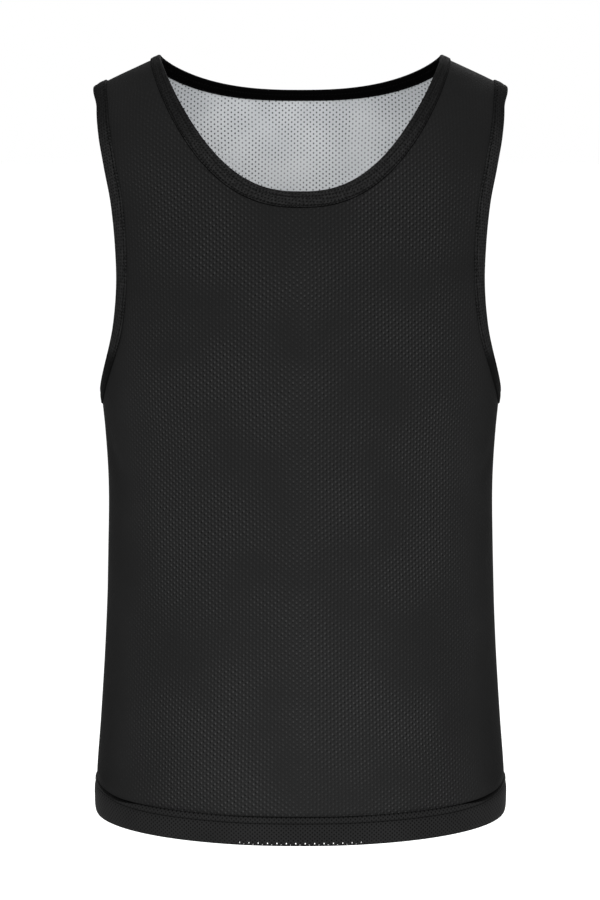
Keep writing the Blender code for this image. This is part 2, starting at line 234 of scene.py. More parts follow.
# Tones of the other cloths and of what is alike on both bindings: 0 is black and 1 is white.
TONES = {
    # panel: the hole tone is the lining painted in its shade, and the shadow tone a painted shadow
    "panel": {"yarn": (0.0080, 0.0096), "line": 0.0040, "shadow": 0.0030, "hole": 0.0240},
    # hem: painted shade in the crease under the panel's edge and along the stitched groove
    "hem": {"yarn": (0.0088, 0.0110), "hole": 0.0008, "crease_shade": 0.0004, "groove_shade": 0.0022},
    # binding: painted shade under the arm, towards the tip, in the crease and on the inside face
    "binding": {"shade": 0.0012, "painted_tip_shade": 0.0020, "crease_shade": 0.0006, "stitch": 0.0010,
                "inside_shade": 0.0006, "inside_hole_shade": 0.0004},
    # lining: low to high is painted light and shade of soft folds; the next tone is painted shade
    # and the last painted light
    "lining": {"low": 0.385, "high": 0.475, "painted_shade": 0.335, "lit": 0.50, "hole": 0.042},
    "thread": (0.0008, 0.0034),
    "floor": (0.93, 0.95),
}
FINISHES = {
    # roughness, relief, specular, sheen
    "panel": (0.72, 0.00020, 0.01, 0.0),
    "hem": (0.74, 0.00026, 0.03, 0.0),
    "binding": (0.74, 0.00022, 0.01, 0.0),
    "lining": (0.70, 0.00025, 0.20, 0.05),
}
MESH_DRIFT = 0.0040  # how far the knit's rows wander
DRIFT_SCALE = 9.0  # of the noise that moves them
FUZZ = (1500.0, 2.0, 0.6)  # scale, detail and roughness of the yarn's own noise
FUZZ_SHARE = 1.2
WALE_SHARE = 0.25
YARN_RELIEF = 0.35  # height of both together, over the depth of a hole
HOLE_ROUGHNESS = 0.95

HEM_STITCH_PITCH = 0.0030
HEM_STITCH_STAND = 0.0005
HEM_STITCHED = 0.995  # share of the way to the side seams
HEM_STITCH_STATIONS = 200
STITCH_LENGTH_SHARE = 0.74
STITCH_RADIUS = 0.00034
STITCH_SIDES = 5
STITCH_SINK = 0.6  # how deep its ends lie, over its radius
STITCH_RINGS = np.array([0.0, 0.18, 0.5, 0.82, 1.0])
STITCH_SWELL = np.array([0.25, 0.85, 1.0, 0.85, 0.25])

QUARTER = math.pi / 2
NORMAL_STEP = 2e-4
RUN_REACH = 3  # stations on each side that give a loop's run
MOVE_STEPS = 8  # steps in which a line is moved into the cloth
TURN_PASSES = 3
ROUNDING = 1e-9

# ---- the photograph's view ----

CAMERA_PLACE = (0.0, -2.60, 0.02)
CAMERA_PITCH = math.radians(8.332)
PHOTO_HEIGHT = 900
FOCAL_PIXELS = 2844.0
SENSOR_HEIGHT = 36.0
HALF_PIXEL = 0.5  # the garment stands this far right of and below the middle
FLOOR_DROP = 1.45  # the shoulders of someone standing are this high
FLOOR_HALF = 30.0
SOFT_LIGHTS = (
    # name, place, target, size, power
    ("key_softbox", (-0.8, -2.9, 0.9), (0, 0, -0.3), 1.8, 62),
    ("fill_softbox", (1.3, -2.6, 0.1), (0, 0, -0.4), 1.8, 36),
    ("top_softbox", (0.0, 0.2, 2.2), (0, 0, -0.1), 1.2, 16),
    ("rear_softbox", (0.7, 2.6, 1.5), (0, 0, -0.35), 1.8, 55),
)


# ---- the worn form ----

def section_at(height):
    """Half width, front depth, back depth and roundness at a height. Between two rows of
    SECTIONS each follows the cubic that meets both rows' values and slopes."""
    rows = np.array(SECTIONS)[::-1]
    knots, values = rows[:, 0], rows[:, 1:]
    slopes = np.gradient(values, knots, axis=0)
    row = np.clip(np.searchsorted(knots, height) - 1, 0, len(knots) - 2)
    span = knots[row + 1] - knots[row]
    part = ((height - knots[row]) / span)[..., None]
    span = span[..., None]
    return ((1 + 2 * part) * (1 - part) ** 2 * values[row]
            + part * (1 - part) ** 2 * span * slopes[row]
            + part ** 2 * (3 - 2 * part) * values[row + 1]
            + part ** 2 * (part - 1) * span * slopes[row + 1])


def tip_reach(turn, height):
    """Sideways reach of the shoulder tips: a bell curve of the height, times an odd power of
    the sine of the turn, which has the side's sign."""
    bell = np.exp(-((height - TIP_HEIGHT) / TIP_SPREAD) ** 2)
    return TIP_REACH * bell * np.sin(turn) ** TIP_SHARPNESS


def form_point(turn, height):
    """Point of the smooth form: sine and cosine of the turn, divided by the n-th root of the
    sum of their n-th powers, times the half width and the depth at that height, and moved
    out at the shoulder tips."""
    turn, height = np.broadcast_arrays(turn, height)
    half_width, front, back, roundness = np.moveaxis(section_at(height), -1, 0)
    across, ahead = np.sin(turn), np.cos(turn)
    reach = (np.abs(across) ** roundness + np.abs(ahead) ** roundness) ** (1 / roundness)
    depth = np.where(ahead >= 0, front, back)
    sideways = half_width * across / reach + tip_reach(turn, height)
    return np.stack([sideways, -depth * ahead / reach, height], axis=-1)


def unit(vectors):
    """The same directions, with length one."""
    return vectors / np.linalg.norm(vectors, axis=-1, keepdims=True)


def shares_of(vectors, directions):
    """How far each vector goes in its direction."""
    return np.sum(vectors * directions, axis=-1, keepdims=True)


def steady_normal(point_at, turn, height):
    """Outward unit normal of a surface, from small steps of turn and of height."""
    along = point_at(turn + NORMAL_STEP, height) - point_at(turn - NORMAL_STEP, height)
    up = point_at(turn, height + NORMAL_STEP) - point_at(turn, height - NORMAL_STEP)
    return unit(np.cross(along, up))


def on_form(turn, height):
    """Points of the smooth form, and its outward unit normals there."""
    return form_point(turn, height), steady_normal(form_point, turn, height)


def wrapped(turn):
    """The same turn, between a quarter turn to the left and three to the right."""
    return np.mod(turn + QUARTER, 2 * math.pi) - QUARTER


def crease_height(turn, height):
    """How far the cloth stands out from the form. Each crease runs along a bowed line and adds
    depth * exp(-(distance / width) ** 2), times the sine of the share of the line run so far,
    so that it fades at both ends."""
    turn, height = np.broadcast_arrays(turn, height)
    turn, out = wrapped(turn), np.zeros(turn.shape)
    for from_turn, from_height, to_turn, to_height, bow, width, depth in CREASES:
        middle = math.radians(from_turn + to_turn) / 2
        nearest = turn - 2 * math.pi * np.round((turn - middle) / (2 * math.pi))
        along_cloth = nearest * CREASE_RADIUS
        start = np.array([math.radians(from_turn) * CREASE_RADIUS, from_height])
        run = np.array([math.radians(to_turn) * CREASE_RADIUS, to_height]) - start
        length = math.hypot(*run)
        run = run / length
        away_along, away_up = along_cloth - start[0], height - start[1]
        share = np.clip((away_along * run[0] + away_up * run[1]) / length, 0, 1)
        fade = np.sin(math.pi * share)
        distance = away_along * run[1] - away_up * run[0] - bow * fade
        out += depth * np.exp(-(distance / width) ** 2) * fade
    return out


def cloth_point(turn, height):
    """Point of the creased cloth's outer face: the form's, moved out by the creases."""
    point, normal = on_form(turn, height)
    return point + normal * crease_height(turn, height)[..., None]


def on_cloth(turn, height):
    """Points of the creased cloth, and its outward unit normals there."""
    return cloth_point(turn, height), steady_normal(cloth_point, turn, height)


def turn_of(point):
    """Turn at which a point near the form lies, on its own level. It takes a few passes, as the
    shoulder tips' reach depends on it."""
    half_width, front, back, _ = np.moveaxis(section_at(point[..., 2]), -1, 0)
    ahead = -point[..., 1] / np.where(point[..., 1] <= 0, front, back)
    turn = np.arctan2(point[..., 0] / half_width, ahead)
    for _ in range(TURN_PASSES):
        sideways = point[..., 0] - tip_reach(turn, point[..., 2])
        turn = np.arctan2(sideways / half_width, ahead)
    return turn


def turns_of_side(side, count, reach=QUARTER):
    """Evenly spaced turns across the front or the back, as far as a reach on either side."""
    half_turn = np.linspace(-reach, reach, count)
    return half_turn if side == "front" else math.pi - half_turn


def side_rise(turn):
    """How much higher the hem band's top is at a turn: a bell curve about each side seam."""
    off_side = np.degrees(np.arccos(np.clip(np.abs(np.sin(turn)), 0, 1)))
    return SIDE_RISE * np.exp(-(off_side / SIDE_RISE_SPREAD) ** 2)


def all_round(count):
    """Evenly spaced angles of a full turn, the first one 0."""
    return np.linspace(0, 2 * math.pi, count, endpoint=False)


def smooth_step(share):
    """Three times the square less twice the cube of a share kept from 0 to 1."""
    share = np.clip(share, 0, 1)
    return share * share * (3 - 2 * share)


# ---- edges that are bound, each a closed loop of (turn, height) ----

def neck_loop():
    """Neck edge all round, from the centre front over the +X shoulder. Across the half width it
    is the sine of the phase, and it drops below the shoulder points by
    drop * (1 - across ** power) ** fall, front and back apart."""
    phase = all_round(NECK_STATIONS)
    across, on_front = np.abs(np.sin(phase)), np.cos(phase) >= -ROUNDING
    front, back = (-edge["drop"] * np.maximum(1 - across ** edge["power"], 0) ** edge["fall"]
                   for edge in (NECK_EDGES["front"], NECK_EDGES["back"]))
    height = np.where(on_front, front, back)
    half_width, _, _, roundness = np.moveaxis(section_at(height), -1, 0)
    share = np.minimum(across * NECK_HALF_WIDTH / half_width, 1)
    turn = np.arctan2(share, np.maximum(1 - share ** roundness, 0) ** (1 / roundness))
    turn = np.where(on_front, turn, math.pi - turn)
    return np.where(np.sin(phase) >= -ROUNDING, turn, -turn), height


def armhole_loop():
    """+X armhole's edge all round, from the underarm up the front: seen from the side, an
    ellipse from the underarm to the shoulder tip, ARMHOLE_REACH to the front and the back."""
    phase = all_round(ARMHOLE_STATIONS)
    half_height = (UNDERARM_DROP - SHOULDER_TIP_DROP) / 2
    height = -SHOULDER_TIP_DROP - half_height - half_height * np.cos(phase)
    _, front, back, roundness = np.moveaxis(section_at(height), -1, 0)
    on_front = np.sin(phase) >= -ROUNDING
    share = np.abs(np.sin(phase)) * ARMHOLE_REACH / np.where(on_front, front, back)
    turn = np.arctan2((1 - share ** roundness) ** (1 / roundness), share)
    return np.where(on_front, turn, math.pi - turn), height


def moved_into_cloth(loop, width, cloth_on_left):
    """A closed loop moved square to its run, along the form, by a width into the cloth. Before
    each of its short steps the heading is laid down on the form's tangent plane, and after it
    the point is put back on the form, along the normal."""
    turn, height = loop
    point, normal = on_form(turn, height)
    run = np.roll(point, -RUN_REACH, axis=0) - np.roll(point, RUN_REACH, axis=0)
    heading = np.cross(normal, run if cloth_on_left else -run)
    step = np.broadcast_to(width, turn.shape)[:, None] / MOVE_STEPS
    for _ in range(MOVE_STEPS):
        heading = unit(heading - normal * shares_of(heading, normal))
        moved = point + heading * step
        level = form_point(turn_of(moved), moved[:, 2])
        moved = moved - normal * shares_of(moved - level, normal)
        turn, height = turn_of(moved), moved[:, 2]
        point, normal = on_form(turn, height)
    return turn, height


def closed(values, hand):
    """Values round a loop, mirrored if hand is -1, with the first one again at the end."""
    return np.concatenate([values, values[:1]]) * np.array([hand, 1, 1])


def run_along(path):
    """Distance from the start of a path of points, at each of them."""
    return np.append(0, np.cumsum(np.linalg.norm(np.diff(path, axis=0), axis=-1)))


# ---- panels and linings ----

def half_panel_places(side, lower_edge):
    """Turn and height of the +X half's grid, a row at a time from the hem to the shoulder. Each
    row is a straight blend from the near curve (centre line, then neck edge) to the far curve
    (side seam, then armhole edge). The lowest rows rise at the side."""
    on_neck = np.arange(NECK_STATIONS // 4 + 1)
    on_armhole = np.arange(ARMHOLE_STATIONS // 2 + 1)
    if side == "back":
        on_neck, on_armhole = NECK_STATIONS // 2 - on_neck, -on_armhole
    neck = [run[on_neck] for run in
            moved_into_cloth(neck_loop(), EDGE_UNDER_BINDING, False)]
    armhole = [run[on_armhole] for run in
               moved_into_cloth(armhole_loop(), EDGE_UNDER_BINDING, True)]
    neck[0][0] = 0.0 if side == "front" else math.pi
    neck[0][-1] = armhole[0][0] = armhole[0][-1] = QUARTER
    centre_heights = np.interp(np.arange(CENTRE_ROWS + 1), (0, SIDE_ROWS, CENTRE_ROWS),
                               (lower_edge, -UNDERARM_ROW_DROP, neck[1][0]))
    seam_heights = np.linspace(lower_edge, armhole[1][0], SIDE_ROWS + 1)
    near = np.stack([np.append(np.full(CENTRE_ROWS, neck[0][0]), neck[0]),
                     np.append(centre_heights[:-1], neck[1])], axis=-1)
    far = np.stack([np.append(np.full(SIDE_ROWS, QUARTER), armhole[0]),
                    np.append(seam_heights[:-1], armhole[1])], axis=-1)
    share = np.linspace(0, 1, HALF_COLUMNS + 1)[None, :, None]
    places = near[:, None] + (far - near)[:, None] * share
    turn, height = places[..., 0], places[..., 1]
    fade = 1 - smooth_step((height - lower_edge) / SIDE_RISE_FADE)
    return turn, height + side_rise(turn) * fade


def relaxed(flat, lengths, passes, centre_rows):
    """Flat places after some passes, in each of which every spring between neighbours moves
    its ends by a share of how far it is from its true length."""
    for _ in range(passes):
        pull = np.zeros_like(flat)
        for (first, second), length in lengths:
            apart = flat[second] - flat[first]
            now = np.linalg.norm(apart, axis=-1)
            step = apart * (1 - length / now)[..., None]
            pull[first] += step
            pull[second] -= step
        flat = flat + pull * SPRING_SHARE
        flat[:centre_rows + 1, 0, 0] = 0
    return flat


def refined(grid, stride, shape):
    """A coarse grid's values carried to the fine grid, straight between its points."""
    for axis in (1, 0):
        place = np.arange(shape[axis]) / stride
        lower = np.minimum(place.astype(int), grid.shape[axis] - 2)
        part = np.expand_dims(place - lower, (1 - axis, 2))
        grid = (np.take(grid, lower, axis) * (1 - part)
                + np.take(grid, lower + 1, axis) * part)
    return grid


def laid_flat(points):
    """The half panel as cut: each grid point's distance from the centre line and up from the
    hem, once springs of the cloth's own lengths have settled in a plane."""
    lower, upper = slice(None, -1), slice(1, None)
    pairs = (((lower, slice(None)), (upper, slice(None))),
             ((slice(None), lower), (slice(None), upper)),
             ((lower, lower), (upper, upper)),
             ((upper, lower), (lower, upper)))
    flat, last = None, None
    for stride, passes in SPRING_LEVELS:
        here = points[::stride, ::stride]
        if flat is None:
            steps = np.linalg.norm(np.diff(here, axis=1), axis=-1)
            across = np.append(np.zeros((len(here), 1)), np.cumsum(steps, axis=1), axis=1)
            across += np.abs(here[:, :1, 0])
            flat = np.stack([across, here[..., 2]], axis=-1)
        else:
            flat = refined(flat, last // stride, here.shape)
        lengths = [(pair, np.linalg.norm(here[pair[1]] - here[pair[0]], axis=-1))
                   for pair in pairs]
        flat = relaxed(flat, lengths, passes, CENTRE_ROWS // stride)
        last = stride
    return flat - np.array([0, flat[0, 0, 1]])


def cut_of(flat):
    """Width, length and area of a whole panel's cut, from its half laid flat."""
    one, other = flat[1:, 1:] - flat[:-1, :-1], flat[1:, :-1] - flat[:-1, 1:]
    cells = np.abs(one[..., 0] * other[..., 1] - one[..., 1] * other[..., 0]) / 2
    width = 2 * flat[..., 0].max()
    length = flat[..., 1].max() - flat[..., 1].min()
    return float(width), float(length), float(2 * cells.sum())


def kept_to_side(points, turn, side):
    """Points of the front or the back kept on their side of the plane through the seams, and
    brought right onto it at the seams, where the two meet."""
    ahead = -1 if side == "front" else 1
    off_plane = ahead * np.maximum(ahead * points[..., 1], SEAM_GAP)
    seamed = np.broadcast_to(np.abs(np.cos(turn)) < ROUNDING, off_plane.shape)
    points[..., 1] = np.where(seamed, 0.0, off_plane)
    return points


def blouse(turn, height):
    """How far the panel's lower end stands out over the hem band at its corners."""
    degrees = np.degrees(wrapped(turn))
    spread = sum(stands_out * np.exp(-((degrees - centre) / width) ** 2)
                 for centre, width, stands_out in BLOUSES)
    above = (height + BODY_LENGTH - HEM_HEIGHT) / BLOUSE_HEIGHT
    return spread * (1 - smooth_step(above))


def add_panel(name, side, level, lower_edge, material, blouses):
    """One panel or lining, its outer face at a level from the cloth's and its inner face a
    cloth's thickness further in. Seamed edges turn in, and the lower edge is rolled."""
    turn, height = half_panel_places(side, lower_edge)
    flat = laid_flat(form_point(turn, height))
    turn = np.concatenate([-turn[:, ::-1], turn], axis=1)
    height = np.concatenate([height[:, ::-1], height], axis=1)
    cloth_places = np.concatenate([flat[:, ::-1] * np.array([-1, 1]), flat], axis=1)
    base, normal = on_cloth(turn, height)
    from_seam = np.abs(base[..., 1])
    stand = level - SEAM_DIP * np.exp(-(from_seam / SEAM_ROLL) ** 2)
    if blouses:
        stand = stand + blouse(turn, height)
    outer, inner = (kept_to_side(base + normal * (stand - depth)[..., None], turn, side)
                    for depth in (0.0, PANEL_CLOTH))
    outer[0] -= normal[0] * LOWER_ROLL
    inner[0] += normal[0] * LOWER_ROLL
    if side == "back":
        outer, inner, cloth_places = outer[:, ::-1], inner[:, ::-1], cloth_places[:, ::-1]
    rows, columns = outer.shape[:2]
    weld = np.arange(rows * columns).reshape(rows, columns)
    weld[:CENTRE_ROWS + 1, HALF_COLUMNS] = weld[:CENTRE_ROWS + 1, HALF_COLUMNS + 1]
    kept = np.ones((rows - 1, columns - 1), bool)
    kept[:, HALF_COLUMNS] = False
    piece = add_shell(name, outer, inner, cloth_places, material, weld.ravel(), kept)
    return piece, cut_of(flat)


# ---- bindings ----

# Across a binding: from the end of its outer leg, over the fold, to the end of its inner leg.
# Each leg's row gives a share of the leg from its end to the fold and how full it is there.
OUTER_LEG_ROWS = (
    # share, fullness
    (0.00, 0.30),
    (0.05, 0.75),
    (0.11, 0.90),
    (0.17, 0.62),
    (0.23, 0.88),
    (0.35, 1.05),
    (0.50, 1.10),
    (0.64, 1.04),
    (0.75, 0.90),
    (0.80, 0.72),
    (0.85, 0.92),
    (0.94, 1.02),
)
INNER_LEG_ROWS = (
    # share, fullness
    (0.92, 1.00),
    (0.78, 0.75),
    (0.60, 1.00),
    (0.35, 1.02),
    (0.18, 0.65),
    (0.06, 0.85),
    (0.00, 0.40),
)
FOLD_ANGLES = (75, 50, 25, 0, -25, -50, -75)
BOTH_LAYERS = 0.0023  # panel, gap and lining, as the CAD has them
FOLD_RADIUS = BOTH_LAYERS / 2 + BINDING_STAND
FOLD_MIDDLE = BINDING_LEG + QUARTER * (FOLD_RADIUS + BINDING_CLOTH)
OUTER, INNER = 0, 1  # a binding's legs

# legs are how wide the outer and the inner leg are, all round or at each station.
Edge = namedtuple("Edge", "label loop cloth_on_left legs")


def neck_legs():
    """How wide the neck binding's legs are at each station. The outer one loses
    SHOULDER_NARROWING times the sixth power of the sine of the phase. The inner one gains
    INNER_WIDENING times it, and INNER_SWELL times the square of the sine of twice the phase."""
    phase = all_round(NECK_STATIONS)
    at_shoulder, on_the_way = np.sin(phase) ** 6, np.sin(2 * phase) ** 2
    return ((1 - SHOULDER_NARROWING * at_shoulder) * BINDING_LEG,
            (1 + INNER_WIDENING * at_shoulder + INNER_SWELL * on_the_way) * INNER_LEG)


def under_leg(edge, leg, share):
    """Points and normals of the cloth under a leg, at a share of it from its end to the fold."""
    return on_cloth(*moved_into_cloth(edge.loop, edge.legs[leg] * (1 - share),
                                      edge.cloth_on_left))


def binding_surface(edge):
    """Outer and inner chains of a folded strip at every station of an edge, and the distance
    across it. The legs lie on the cloth a little off its two faces, puffed by their rows'
    fullness, and the fold is a half circle round the edge of both layers."""
    edge_point, edge_normal = on_cloth(*edge.loop)
    line = moved_into_cloth(edge.loop, BINDING_LEG / 4, edge.cloth_on_left)
    away = edge_point - cloth_point(*line)
    away = unit(away - edge_normal * shares_of(away, edge_normal))
    middle = edge_point - edge_normal * BOTH_LAYERS / 2
    fold = FOLD_RADIUS + BINDING_CLOTH
    rows = []

    def add_row(place, point, out, stand, fullness=1.0):
        rows.append((point + out * (stand + BINDING_CLOTH * fullness), point + out * stand, place))

    for share, fullness in OUTER_LEG_ROWS:
        add_row(BINDING_LEG * share, *under_leg(edge, OUTER, share), BINDING_STAND, fullness)
    for angle in np.radians(FOLD_ANGLES):
        out = away * math.cos(angle) + edge_normal * math.sin(angle)
        add_row(BINDING_LEG + (QUARTER - angle) * fold, middle, out, FOLD_RADIUS)
    for share, fullness in INNER_LEG_ROWS:
        point, normal = under_leg(edge, INNER, share)
        add_row(BINDING_LEG + math.pi * fold + INNER_LEG * (1 - share), point, -normal,
                BOTH_LAYERS + BINDING_STAND, fullness)
    outer, inner, across = zip(*rows)
    return np.stack(outer, axis=1), np.stack(inner, axis=1), np.array(across)


def add_binding(name, edge, hand, material):
    """A strip folded over a bound edge all round. hand is 1, or -1 for the mirrored one."""
    outer, inner, across = binding_surface(edge)
    outer, inner = closed(outer, hand), closed(inner, hand)
    run = run_along(outer[:, outer.shape[1] // 2])
    places = as_places(run[:, None], across[None, :])
    if edge.cloth_on_left == (hand > 0):
        outer, inner, places = outer[::-1], inner[::-1], places[::-1]
    weld = np.arange(places.shape[0] * places.shape[1])
    weld[-places.shape[1]:] = weld[:places.shape[1]]
    return add_shell(name, outer, inner, places, material, weld), run[-1]


# ---- hem ----

def add_hem(name, side, material, pinholes):
    """The turned-up band: the hem's section carried along the lower edge from seam to seam,
    and drawn up at the seams as the panel's edge is. On the front the two layers' holes line
    up near the folded edge, and light comes through."""
    turn = turns_of_side(side, HEM_COLUMNS + 1)[None, :]
    above, *stands = np.array(HEM_SECTION).T[:, :, None]
    height = above - BODY_LENGTH + side_rise(turn) * smooth_step(above / GROOVE_HEIGHT)
    point, normal = on_cloth(turn, height)
    outer, inner = (kept_to_side(point + normal * stand[..., None], turn, side)[::-1]
                    for stand in stands)
    if side == "back":
        outer, inner = outer[:, ::-1], inner[:, ::-1]
    run = run_along(outer[HEM_MEASURED_ROW])
    run -= run[-1] / 2
    above = above[::-1, 0]
    kept = np.ones((len(above) - 1, HEM_COLUMNS), bool)
    if pinholes:
        column = np.arange(HEM_COLUMNS)
        for row, first in PINHOLES:
            wanted = (column % PINHOLE_EVERY == first) & (np.abs(run[:-1]) < PINHOLE_REACH)
            kept[len(above) - 2 - row] = ~wanted
    return add_shell(name, outer, inner, as_places(run[None, :], above[:, None]), material,
                     kept=kept)


# ---- stitching ----

def stitch_mesh(rows):
    """Points and faces of all of one seam's stitches. Each is a thin round bar from its start
    to its end, arched outwards and drawn in at its ends, with its under half in the cloth."""
    start, end, out = (np.concatenate(parts)[:, None, None] for parts in zip(*rows))
    side, angle = unit(np.cross(unit(end - start), out)), all_round(STITCH_SIDES)[:, None]
    ring, swell = STITCH_RINGS[:, None, None], STITCH_SWELL[:, None, None]
    arch = np.sin(math.pi * ring) - STITCH_SINK
    spoke = side * np.cos(angle) + out * np.sin(angle)
    points = start + (end - start) * ring + (out * arch + spoke * swell) * STITCH_RADIUS
    rings, sides = len(STITCH_RINGS), STITCH_SIDES
    level, corner = np.meshgrid(np.arange(rings - 1), np.arange(sides), indexing="ij")
    following = (corner + 1) % sides
    quads = np.stack([level * sides + corner, level * sides + following,
                      (level + 1) * sides + following, (level + 1) * sides + corner], axis=-1)
    caps = (np.arange(sides)[::-1], (rings - 1) * sides + np.arange(sides))
    shift = np.arange(len(start))[:, None] * rings * sides
    quads = (shift[:, None] + quads.reshape(1, -1, 4)).reshape(-1, 4)
    ends = np.concatenate([shift + cap[None] for cap in caps])
    return points.reshape(-1, 3), quads.tolist() + ends.tolist()


def stitch_row(path, out, pitch):
    """Start, end and outward direction of the stitches along a path, evenly spaced."""
    run = run_along(path)
    count = int(run[-1] / pitch)
    starts = np.arange(count) * run[-1] / count
    ends = starts + run[-1] / count * STITCH_LENGTH_SHARE

    def on_path(values, distance):
        return np.stack([np.interp(distance, run, values[:, axis]) for axis in range(3)], -1)

    return on_path(path, starts), on_path(path, ends), unit(on_path(out, (starts + ends) / 2))


def binding_stitches(edge, hand):
    """Stitch rows on a binding, those of its outer leg first. Each lies where its leg's rows
    are drawn in."""
    looks, rows = BINDINGS[edge.label], []
    drawn_in = BINDING_CLOTH * DRAWN_IN
    for leg, shares, offset in (
            (OUTER, [share for share, _ in looks["rows"]], BINDING_STAND + drawn_in),
            (INNER, looks["inner_rows"], -(BOTH_LAYERS + BINDING_STAND + drawn_in))):
        for share in shares:
            point, normal = under_leg(edge, leg, share)
            path, out = point + normal * offset, normal * math.copysign(1, offset)
            rows.append(stitch_row(closed(path, hand), closed(out, hand), looks["pitch"]))
    return rows


def hem_stitches(side):
    """One row round the hem, in the groove under the band's top ridge."""
    turn = turns_of_side(side, HEM_STITCH_STATIONS, QUARTER * HEM_STITCHED)
    point, normal = on_cloth(turn, GROOVE_HEIGHT - BODY_LENGTH + side_rise(turn))
    return stitch_row(point + normal * HEM_STITCH_STAND, normal, HEM_STITCH_PITCH)


# ---- meshes ----

def grid_cells(rows, columns):
    """Four corners of each cell of a grid of points, anticlockwise seen from outside."""
    row, column = np.meshgrid(np.arange(rows - 1), np.arange(columns - 1), indexing="ij")
    corner = row * columns + column
    return np.stack([corner, corner + 1, corner + columns + 1, corner + columns], axis=-1)


def as_places(*distances):
    """Pairs of distances on the cloth, from columns of one and rows of the other."""
    return np.stack(np.broadcast_arrays(*distances), axis=-1)


def add_shell(name, outer, inner, places, material, weld=None, kept=None):
    """A closed wall from two grids of points that face each other. places are the cloth's own
    distances at the points, kept as the UV map. weld gives for each point the one that it lies
    on, and kept says which cells are there. Every edge that only one cell has gets a small wall
    from the outer face to the inner one."""
    cells = grid_cells(*outer.shape[:2])
    cells = cells.reshape(-1, 4) if kept is None else cells[kept]
    count = outer.shape[0] * outer.shape[1]
    weld = np.arange(count) if weld is None else weld
    first, second = cells.ravel(), np.roll(cells, -1, axis=1).ravel()
    there, back = weld[first] * count + weld[second], weld[second] * count + weld[first]
    alone = ~np.isin(there, back)
    first, second = first[alone], second[alone]
    rim = np.stack([second, first, first + count, second + count], axis=-1)
    faces = np.concatenate([cells, cells[:, ::-1] + count, rim])
    welded = np.concatenate([weld, weld + count])[faces]
    used, numbered = np.unique(welded, return_inverse=True)
    points = np.concatenate([outer.reshape(-1, 3), inner.reshape(-1, 3)])[used]
    both_places = np.concatenate([places.reshape(-1, 2)] * 2)
    return add_mesh(name, points, numbered.reshape(-1, 4).tolist(), material,
                    both_places[faces.ravel()])


def add_object(name, data):
    """An object of the scene that holds some data."""
    added = bpy.data.objects.new(name, data)
    bpy.context.scene.collection.objects.link(added)
    return added


def add_mesh(name, points, faces, material, corner_places=None):
    """Smooth-shaded mesh object that stands at the origin."""
    mesh = bpy.data.meshes.new(name)
    mesh.from_pydata(np.asarray(points).tolist(), [], faces)
    mesh.shade_smooth()
    mesh.materials.append(material)
    if corner_places is not None:
        layer = mesh.uv_layers.new(name="cloth")
        layer.data.foreach_set("uv", corner_places.astype(np.float32).ravel())
    return add_object(name, mesh)


# ---- materials ----

